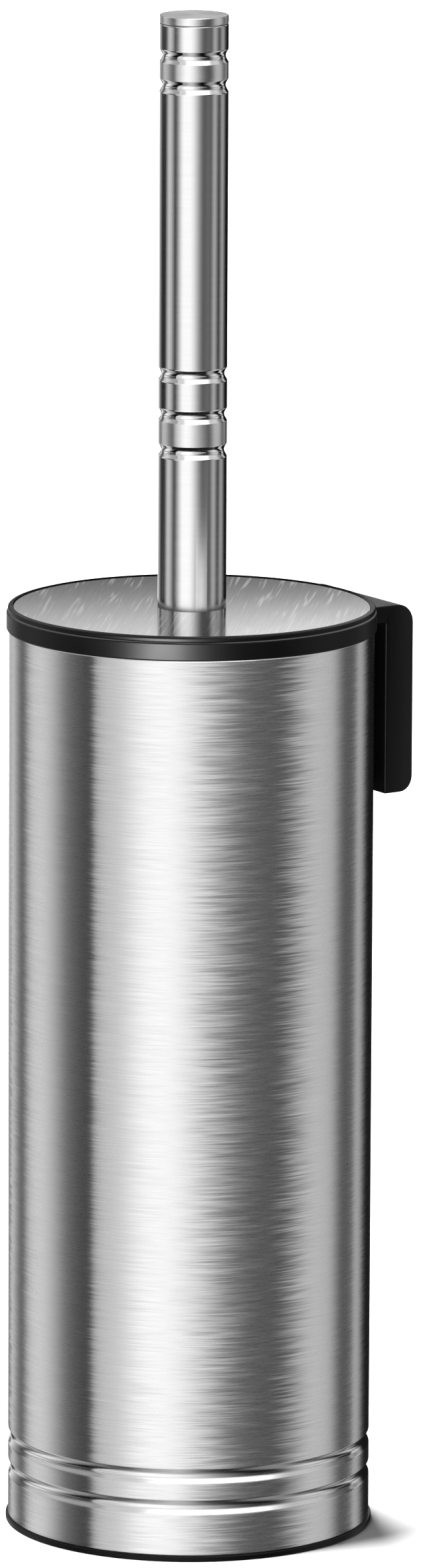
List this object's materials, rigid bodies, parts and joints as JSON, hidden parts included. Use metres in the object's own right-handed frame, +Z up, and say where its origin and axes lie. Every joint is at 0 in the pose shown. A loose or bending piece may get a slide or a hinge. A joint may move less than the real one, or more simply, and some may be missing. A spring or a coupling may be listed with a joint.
{
  "type": "toilet brush holder",
  "caption": "Free-standing tubular steel toilet brush holder with a removable inner bucket, a lidded brush on a long tubular handle, and a rear hanger for a wall plate.",
  "frame": {"origin": "centre of the anti-slip pad's underside, on the floor and on the tube's axis", "axes": "+Z up along the tube and the handle; +Y towards the wall that the hanger faces; +X to the right when looking at the wall"},
  "size_m": [0.0974, 0.1066, 0.402],
  "materials": {
    "brushed_steel": "satin, brushed round the tube and straight across the lid disc",
    "polished_steel": "polished",
    "fastener_steel": "bright zinc plating",
    "black_plastic": "satin moulded",
    "bucket_plastic": "fine moulded texture",
    "core_plastic": "satin moulded",
    "rubber": "matt",
    "bristle_nylon": "translucent white filament"
  },
  "bodies": {
    "holder": {"body_tube": "brushed_steel", "base_cap": "black_plastic", "antislip_pad": "rubber", "collar": "black_plastic"},
    "wall_plate": {"wall_plate": "black_plastic"},
    "bucket": {"inner_bucket": "bucket_plastic"},
    "brush": {"lid_body": "black_plastic", "lid_disc": "brushed_steel", "handle_tube": "polished_steel", "handle_cap": "polished_steel", "handle_plug": "fastener_steel", "rubber_washer": "rubber", "steel_washer": "fastener_steel", "lid_nut": "fastener_steel", "stem": "polished_steel"},
    "brush_head": {"head_core": "core_plastic", "tip_tufts": "bristle_nylon", "tuft_row_1": "bristle_nylon", "tuft_row_2": "bristle_nylon", "tuft_row_3": "bristle_nylon", "tuft_row_4": "bristle_nylon", "tuft_row_5": "bristle_nylon", "tuft_row_6": "bristle_nylon", "tuft_row_7": "bristle_nylon", "tuft_row_8": "bristle_nylon", "tuft_row_9": "bristle_nylon"}
  },
  "joints": [
    {"name": "plate_slide", "type": "slide", "parent": "holder", "child": "wall_plate", "axis": [0, 0, -1], "range_m": [0, 0.05]},
    {"name": "bucket_lift", "type": "slide", "parent": "holder", "child": "bucket", "axis": [0, 0, 1], "range_m": [0, 0.25]},
    {"name": "brush_lift", "type": "slide", "parent": "bucket", "child": "brush", "axis": [0, 0, 1], "range_m": [0, 0.24]},
    {"name": "head_unscrew", "type": "slide", "parent": "brush", "child": "brush_head", "axis": [0, 0, -1], "range_m": [0, 0.012]}
  ]
}
